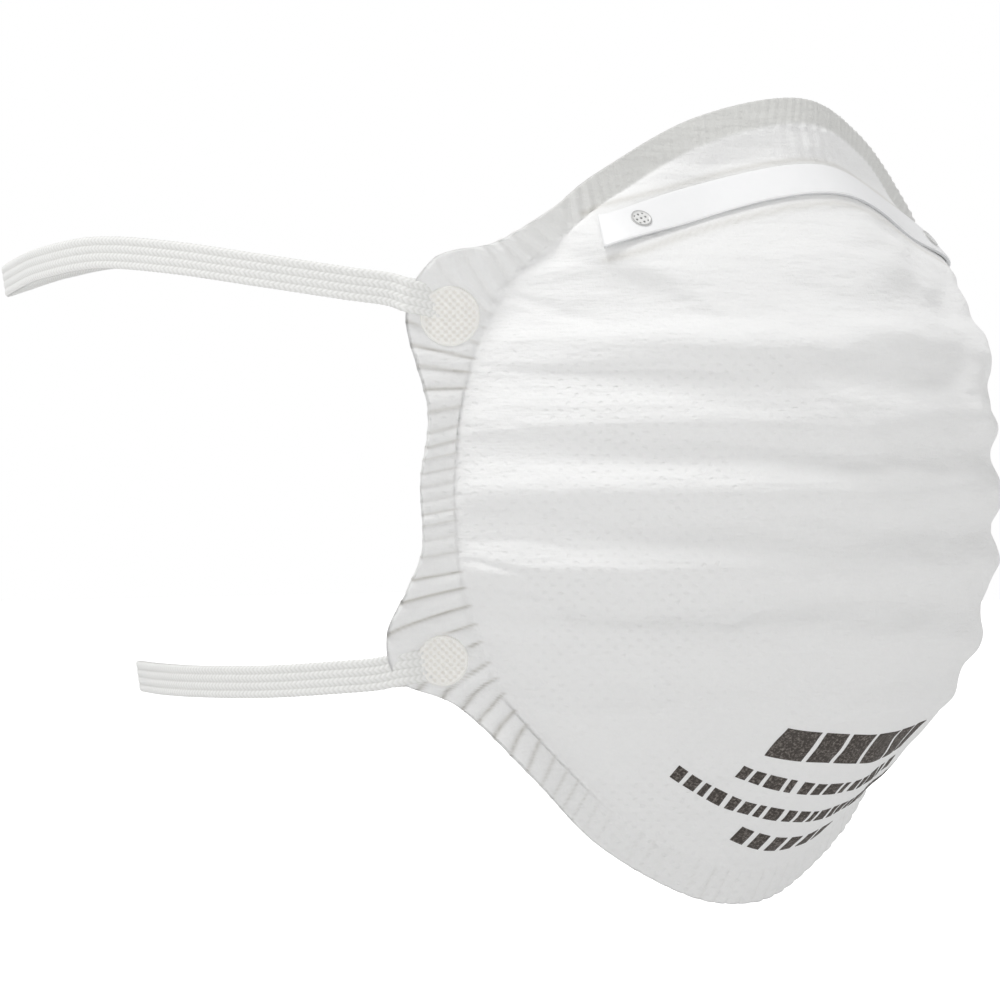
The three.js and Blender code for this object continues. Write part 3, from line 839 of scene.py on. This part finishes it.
def make_cup():
    points, faces, tones = layer_mesh(fine_rings(), coarse_rings(), cover_outside, cover_inside)
    cover_skin = nonwoven("cover_nonwoven", (0.905, 0.905, 0.9), 0.34, 0.24)
    cover = mesh_object("cover_skin", points, faces, cover_skin, "mask", tones=tones)
    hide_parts("outer_cover")
    points, faces, tones = layer_mesh(coarse_rings(), fine_rings(), liner_outside, liner_inside)
    liner_skin = nonwoven("liner_nonwoven", (0.89, 0.89, 0.88), 0.3, 0.2)
    liner = mesh_object("liner_skin", points, faces, liner_skin, "mask", tones=tones)
    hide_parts("inner_liner")
    for node, color in (("filter_web", (0.92, 0.92, 0.93)), ("support_shell", (0.86, 0.86, 0.84))):
        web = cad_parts[node]
        web.data.materials.clear()
        web.data.materials.append(hidden_web(node, color))


# ---- nose clip, stakes and foam ----


def loft_faces(sections, per):
    """Faces of a closed bar whose points are given section by section, per points in each."""
    faces = []
    for i in range(sections - 1):
        for j in range(per):
            k = (j + 1) % per
            faces.append((i * per + j, (i + 1) * per + j, (i + 1) * per + k, i * per + k))
    faces.append(tuple(range(per)))
    faces.append(tuple(reversed(range((sections - 1) * per, sections * per))))
    return faces


def clip_frames(x):
    """Points of the face under the clip's middle line, with directions along, across and out."""
    turn, reach = locate(x, clip_z(x))
    ahead = face(*locate(x + 0.5, clip_z(x + 0.5)))
    behind = face(*locate(x - 0.5, clip_z(x - 0.5)))
    out = face_normal(turn, reach)
    along = unit(ahead - behind)
    across = unit(np.cross(along, out))
    return face(turn, reach), along, across, out


def clip_section():
    """The strip's outline with rolled edges, as (across, height) places."""
    half = CLIP["width"] / 2
    thick = CLIP["thickness"]
    corner = 0.22
    outline = []
    for side, level, start in ((1, 1, 0), (-1, 1, 90), (-1, 0, 180), (1, 0, 270)):
        middle = (side * (half - corner), thick - corner if level else corner)
        for k in range(5):
            angle = math.radians(start + 22.5 * k)
            outline.append((middle[0] + corner * math.cos(angle), middle[1] + corner * math.sin(angle)))
        if level and side == 1:
            outline += [(half * share, thick) for share in (0.8, 0.72, 0.4, 0, -0.4, -0.72, -0.8)]
    return np.array(outline)


def make_clip():
    """The strip and the stake in each of its holes."""
    count = 261
    base, along, across, out = clip_frames(np.linspace(-CLIP["half"], CLIP["half"], count))
    section = clip_section()
    width, height = section[:, 0], section[:, 1]
    lift = CLIP["lift"] - 0.05 + height
    points = base[:, None] + across[:, None] * width[None, :, None] + out[:, None] * lift[None, :, None]
    # Painted shade: the edges low down, where the strip sits on the cover, are marked to be darkened.
    flank = np.where(np.abs(width) > CLIP["width"] / 2 - 0.3, 1.0, 0.0) * (height < 0.55)
    piece = mesh_object(
        "clip_strip", points.reshape(-1, 3), loft_faces(count, len(section)),
        painted_metal("painted_aluminium"), "mask", tones={"painted_shade": np.tile(flank, count)},
    )
    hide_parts("nose_clip")
    for side, word in ((-1, "right"), (1, "left")):
        make_stake(side, word)


def disc_places(rings, columns):
    """Radius shares, angles and faces of a plug: a top, its rim again for the back, a back pole."""
    outward = np.arange(1, rings + 1) / rings
    share = np.concatenate([[0.0], np.repeat(outward, columns), np.ones(columns), [0.0]])
    angle = np.concatenate([[0.0], np.tile(np.arange(columns) * 2 * math.pi / columns, rings + 1), [0.0]])
    faces = [(0, 1 + i, 1 + (i + 1) % columns) for i in range(columns)]
    for k in range(rings):
        a = 1 + k * columns
        b = a + columns
        faces += [(a + i, b + i, b + (i + 1) % columns, a + (i + 1) % columns) for i in range(columns)]
    back = 1 + rings * columns
    last = back + columns
    faces += [(last, back + (i + 1) % columns, back + i) for i in range(columns)]
    return share, angle, faces


def plug_mesh(name, centre, axes, places, heights, darks, faces, material):
    """A plug from places along two axes and heights along a third, facing out."""
    points = centre + sum(np.outer(values, axis) for values, axis in zip((*places, heights), axes))
    if np.dot(np.cross(axes[0], axes[1]), axes[2]) < 0:
        faces = [tuple(reversed(polygon)) for polygon in faces]
    return mesh_object(name, points, faces, material, "mask", tones={"painted_shade": darks})


def make_stake(side, word):
    """One knurled point in a hole of the clip: a lip round a grid of small pits, both darkened with painted
    shade.
    """
    centre, *axes = (value[0] for value in clip_frames(np.array([side * STAKE_X])))
    rings, columns = 24, 72
    share, angle, faces = disc_places(rings, columns)
    radius = STAKE_RADIUS * share
    a = radius * np.cos(angle)
    b = radius * np.sin(angle)
    wave = np.cos(a * 2 * math.pi / STAKE_PITCH) + np.cos(b * 2 * math.pi / STAKE_PITCH)
    pit = np.where(radius < 1.45 * STAKE_PITCH, np.clip((wave - 0.7) / 0.8, 0, 1), 0)
    back = np.arange(len(a)) > rings * columns
    top = CLIP["lift"] + CLIP["thickness"] - 0.05
    height = top + 0.12 + 0.14 * hump((radius - STAKE_RADIUS + 0.14) / 0.17) - 0.1 * pit
    height = np.where(back, CLIP["lift"] - 0.2, height)
    # Painted shade: the pits, almost black, and a ring at the rim are darkened in colour.
    dark = np.minimum(1, 0.9 * pit + 0.5 * hump((radius - STAKE_RADIUS + 0.1) / 0.16))
    dark = np.where(back, 0, dark)
    material = stake_plastic(f"stake_{word}")
    piece = plug_mesh(f"stake_{word}", centre, axes, (a, b), height, dark, faces, material)
    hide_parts(f"nose_clip_stake_{word}")


def slab_faces(columns, rows):
    """Faces of a closed slab over a grid: its top's points first, then its back's."""
    row = rows + 1
    size = (columns + 1) * row
    faces = []
    for a in (c * row + r for c in range(columns) for r in range(rows)):
        top = (a, a + row, a + row + 1, a + 1)
        faces += [top, tuple(size + i for i in reversed(top))]
    outline = [c * row for c in range(columns)] + [columns * row + r for r in range(rows)]
    outline += [size - 1 - i for i in outline]
    faces += [(b, a, size + a, size + b) for a, b in zip(outline, outline[1:] + outline[:1])]
    return faces


def make_foam():
    """The soft strip behind the clip: crowned, with round edges and its ends drawn in."""
    columns, rows = 150, 30
    along, across = np.mgrid[0:1:(columns + 1) * 1j, 0:1:(rows + 1) * 1j]
    x = FOAM["half"] * (2 * along - 1)
    narrow = np.sqrt(np.clip(1 - np.abs(2 * along - 1) ** 14, 0, 1)) * 0.5
    share = 0.5 + (across - 0.5) * (0.5 + narrow)
    z = FOAM["low"] + (FOAM["high"] - FOAM["low"]) * share - FOAM["drop"] * (2 * along - 1) ** 2
    turn, reach = locate(x, z)
    base = face(turn, reach)
    normal = face_normal(turn, reach)
    crown = (np.sin(math.pi * along) * np.sin(math.pi * across)) ** 0.4
    seat = LINER_DEPTH + LINER_THICKNESS + 0.05
    top = base - normal * seat
    back = base - normal * (seat + FOAM["edge"] + (FOAM["thickness"] - FOAM["edge"]) * crown)[..., None]
    points = np.concatenate([top.reshape(-1, 3), back.reshape(-1, 3)])
    piece = mesh_object("foam_strip", points, slab_faces(columns, rows), foam_material("foam"), "mask")
    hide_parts("nose_foam")


# ---- weld pads and straps ----


def pad_frame(pad, side):
    """A pad's turn and centre on the flange, and its directions out to the edge, up and away."""
    turn = pad["turn"] if side > 0 else 1 - pad["turn"]
    centre = face(turn, pad["reach"])
    out = face_normal(turn, pad["reach"])
    run = face(turn, 2.0) - face(turn, 1.0)
    run[2] = 0
    run = unit(run)
    up = unit(np.cross(out, run))
    run = np.cross(up, out)
    if up[2] < 0:
        up = -up
    return turn, centre, run, up, out


def on_flange(pad, side, a, b):
    """How far the face lies above a pad's plane at local places (a, b)."""
    pad_turn, centre, run, up, out = pad_frame(pad, side)
    turn = np.full(np.shape(a), pad_turn)
    reach = np.full(np.shape(a), pad["reach"])
    step = 1e-3
    for _ in range(8):
        here = face(turn, reach) - centre
        by_turn = (face(turn + step, reach) - centre - here) / step
        by_reach = (face(turn, reach + step) - centre - here) / step
        miss_a = a - here @ run
        miss_b = b - here @ up
        ta, tb = by_turn @ run, by_turn @ up
        ra, rb = by_reach @ run, by_reach @ up
        det = ta * rb - tb * ra
        turn = turn + (miss_a * rb - miss_b * ra) / det
        reach = np.clip(reach + (miss_b * ta - miss_a * tb) / det, 1.02, 2.1)
    return (face(turn, reach) - centre) @ out


def make_pad(pad, side, level, word, material):
    """A round weld pad pressed into the flange, cross-knurled at 45 degrees."""
    _, centre, *axes = pad_frame(pad, side)
    rings, columns = 34, 112
    share, angle, faces = disc_places(rings, columns)
    a = pad["radius"] * share * np.cos(angle)
    b = pad["radius"] * share * np.sin(angle)
    tips = np.cos(a * 2 * math.pi / KNURL_PITCH) * np.cos(b * 2 * math.pi / KNURL_PITCH)
    tips = np.clip(tips * 1.2, -0.6, 1) * (1 - smoothstep(share, 0.86, 0.95))
    height = 0.42 + 0.17 * tips + 0.12 * hump((share - 0.93) / 0.05)
    height = height - 0.3 * smoothstep(share, 0.95, 1.0)
    back = np.arange(len(a)) > rings * columns
    height = on_flange(pad, side, a, b) + np.where(back, -0.05, height)
    # Painted shade: where the knurling dips, the pad is marked to be darkened in colour.
    pits = np.where(back, 0.0, smoothstep(-tips, 0.05, 0.6))
    piece = plug_mesh(f"pad_{level}_{word}", centre, axes, (a, b), height, pits, faces, material)
    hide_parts(f"strap_weld_{level}_{word}")


def strap_lead(pad, side):
    """Middle points of the band from inside a pad to the flange edge, lying on the flange."""
    _, centre, run, up, out = pad_frame(pad, side)
    slope = math.radians(pad["rise"])
    along = np.array([1.0, 2.4, 3.9, 5.4, 7.0])
    a = along * math.cos(slope)
    b = pad["offset"] + along * math.sin(slope)
    height = on_flange(pad, side, a, b) + np.array([-0.35, -0.2, 0.2, 0.5, 0.5])
    return centre + np.outer(a, run) + np.outer(b, up) + np.outer(height, out)


def smooth_line(points, spacing):
    """Evenly spaced points on a centripetal curve through points, and their places along it."""
    points = np.array(points, float)
    ends = np.vstack([2 * points[0] - points[1], points, 2 * points[-1] - points[-2]])
    dense = []
    for k in range(len(points) - 1):
        p0, p1, p2, p3 = ends[k:k + 4]
        gap = [max(np.linalg.norm(v), 1e-6) ** 0.5 for v in (p1 - p0, p2 - p1, p3 - p2)]
        slope_a = ((p1 - p0) / gap[0] - (p2 - p0) / (gap[0] + gap[1]) + (p2 - p1) / gap[1]) * gap[1]
        slope_b = ((p2 - p1) / gap[1] - (p3 - p1) / (gap[1] + gap[2]) + (p3 - p2) / gap[2]) * gap[1]
        for f in np.linspace(0, 1, 60, endpoint=False):
            dense.append(hermite(p1, p2, slope_a, slope_b, f))
    dense = np.array(dense + [points[-1]])
    lengths = np.concatenate([[0], np.cumsum(np.linalg.norm(np.diff(dense, axis=0), axis=1))])
    count = int(round(lengths[-1] / spacing))
    even = np.linspace(0, lengths[-1], count + 1)
    return np.stack([np.interp(even, lengths, dense[:, k]) for k in range(3)], axis=1), even


def strap_section():
    """The band's outline as (across, height, rib place): four round ribs on both faces."""
    half = STRAP_WIDTH / 2
    steps = STRAP_RIBS * 6
    outline = []
    for face_side in (1, -1):
        for k in range(steps + 1):
            share = k / steps
            across = (half - 0.12) * (1 - 2 * share) * face_side
            rib = abs(math.sin(math.pi * share * STRAP_RIBS))
            height = (STRAP_THICKNESS / 2 - 0.14 + 0.14 * rib ** 0.6) * face_side
            if k in (0, steps):
                height = 0.18 * face_side
            outline.append((across, height, share * STRAP_RIBS))
    return np.array(outline)


def make_strap(name, node, route, pad, material):
    """One band: from a pad, round the head and back into the other pad."""
    start = strap_lead(pad, -1)
    end = strap_lead(pad, 1)[::-1]
    middle, places = smooth_line(np.vstack([start, route, end]), BAND_STEP)
    tangent = unit(np.gradient(middle, axis=0))
    outward = middle - middle[len(middle) // 2] * (0, 0.55, 0)
    outward[:, 2] = 0
    share = places / places[-1]
    lean = BAND_LEAN * np.sin(math.pi * share) ** 2
    upright = np.array([0, 0, 1]) + unit(outward) * lean[:, None]
    width = unit(upright - tangent * np.sum(upright * tangent, axis=1)[:, None])
    depth = np.cross(tangent, width)
    section = strap_section()
    rng = np.random.default_rng(21)
    wave = 0.05 * np.sin(places * 2 * math.pi / STITCH_PITCH)[:, None] * np.sign(section[:, 0])[None]
    edge = np.abs(section[:, 0]) > STRAP_WIDTH / 2 - 0.2
    across = section[:, 0][None] + wave * edge[None] + rng.normal(0, 0.008, (len(middle), len(section)))
    points = middle[:, None] + width[:, None] * across[..., None]
    points = points + depth[:, None] * section[:, 1][None, :, None]
    per = len(section)
    faces = [tuple(reversed(polygon)) for polygon in loft_faces(len(middle), per)]
    tones = {
        "along": np.repeat(places, per),
        "across": np.tile(section[:, 2], len(middle)),
    }
    piece = mesh_object(name, points.reshape(-1, 3), faces, material, None, tones=tones)
    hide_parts(node)
    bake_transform(piece)
    path = [tuple(point) for point in (np.vstack([middle[::8], middle[-1:]]) * MM).tolist()]
    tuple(path[0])


def make_harness():
    elastic = elastic_material("strap_elastic")
    make_strap("upper_band", "upper_strap", UPPER_ROUTE, UPPER_PAD, elastic)
    make_strap("lower_band", "lower_strap", LOWER_ROUTE, LOWER_PAD, elastic)
    ivory = weld_material("weld")
    for side, word in ((-1, "right"), (1, "left")):
        make_pad(UPPER_PAD, side, "upper", word, ivory)
        make_pad(LOWER_PAD, side, "lower", word, ivory)


# ---- printed marks ----

# Rows of plain bars on the chin: height of the row on the centre plane, half of its width, how
# much higher its ends are, the bars' height, and the bars' and gaps' widths in turn.
PRINT_ROWS = [
    {"z": -41.0, "half": 17.4, "lift": 2.0, "tall": 5.0, "bars": (6.6, 0.9, 4.4, 0.9, 5.2, 0.9)},
    {"z": -47.8, "half": 19.4, "lift": 3.8, "tall": 1.9, "bars": (2.0, 0.8, 2.0, 0.8, 3.2, 0.8, 1.2, 1.4)},
    {"z": -52.4, "half": 28.4, "lift": 8.4, "tall": 1.9, "bars": (1.8, 0.8, 2.2, 0.8, 1.2, 0.8, 2.6, 1.0)},
    {"z": -57.6, "half": 11.4, "lift": 2.4, "tall": 2.3, "bars": (2.8, 1.2, 2.6, 1.4)},
]


def bar_patch(row, low, high):
    """Top and back points of one bar between two places across the chin, on the moulded face."""
    columns = max(3, int((high - low) / 0.5))
    rows = max(3, int(row["tall"] / 0.6))
    x, up = np.mgrid[low:high:(columns + 1) * 1j, -0.5:0.5:(rows + 1) * 1j]
    z = row["z"] + row["lift"] * (x / row["half"]) ** 2 + up * row["tall"]
    turn, reach = locate(x, z)
    base, normal, height, _, _ = relief(turn, reach)
    top = base + normal * (height + 0.05)[..., None]
    back = base + normal * (height - 0.1)[..., None]
    return np.concatenate([top.reshape(-1, 3), back.reshape(-1, 3)]), slab_faces(columns, rows)


def make_print():
    points = []
    faces = []
    total = 0
    for row in PRINT_ROWS:
        place = -row["half"]
        index = 0
        while place < row["half"] - 0.8:
            width = min(row["bars"][index % len(row["bars"])], row["half"] - place)
            if index % 2 == 0:
                patch, its_faces = bar_patch(row, place, place + width)
                faces += [tuple(total + i for i in polygon) for polygon in its_faces]
                points.append(patch)
                total += len(patch)
            place += width
            index += 1
    piece = mesh_object("printed_bars", np.concatenate(points), faces, ink("print_ink"), "mask")


# ---- stage ----


def area_light(name, place, power, size):
    data = bpy.data.lights.new(name, "AREA")
    data.energy = power
    data.shape = "DISK"
    data.size = size
    light = bpy.data.objects.new(name, data)
    light.location = place
    target = np.array([0, 0.02, 0])
    direction = target - np.array(place)
    yaw = math.atan2(direction[1], direction[0]) - math.pi / 2
    pitch = math.atan2(math.hypot(direction[0], direction[1]), -direction[2])
    light.rotation_euler = (pitch, 0, yaw)
    bpy.context.collection.objects.link(light)


AMBIENT = 0.54  # how bright the white surroundings light the mask
FLOOR_Z = -0.2  # metres


def make_stage():
    """A pale floor well below the mask, a white backdrop and soft light from above and the left."""
    reach = 6000
    corners = [(-reach, -reach, 0), (reach, -reach, 0), (reach, reach, 0), (-reach, reach, 0)]
    floor = mesh_object("floor", corners, [(0, 1, 2, 3)], floor_material("floor"), None)
    floor.location = (0, 0, FLOOR_Z)
    floor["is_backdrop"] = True
    world = bpy.data.worlds.new("world")
    world.use_nodes = True
    background = world.node_tree.nodes["Background"]
    background.inputs["Color"].default_value = (1, 1, 1, 1)
    seen = world.node_tree.nodes.new("ShaderNodeLightPath").outputs["Is Camera Ray"]
    strength = world.node_tree.nodes.new("ShaderNodeMapRange")
    world.node_tree.links.new(seen, strength.inputs["Value"])
    strength.inputs["To Min"].default_value = AMBIENT
    world.node_tree.links.new(strength.outputs["Result"], background.inputs["Strength"])
    bpy.context.scene.world = world
    bpy.context.scene.view_settings.view_transform = "Standard"
    area_light("key", (-0.34, 0.12, 1.04), 6.2, 0.4)
    area_light("fill", (-0.8, -0.45, -0.13), 0.35, 0.4)


make_camera()
make_harness()
make_cup()
make_clip()
make_foam()
make_print()
make_stage()

boxes = {"cad": CAD_BOX, "visual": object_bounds()}
{key: [list(corner) for corner in box] for key, box in boxes.items()}
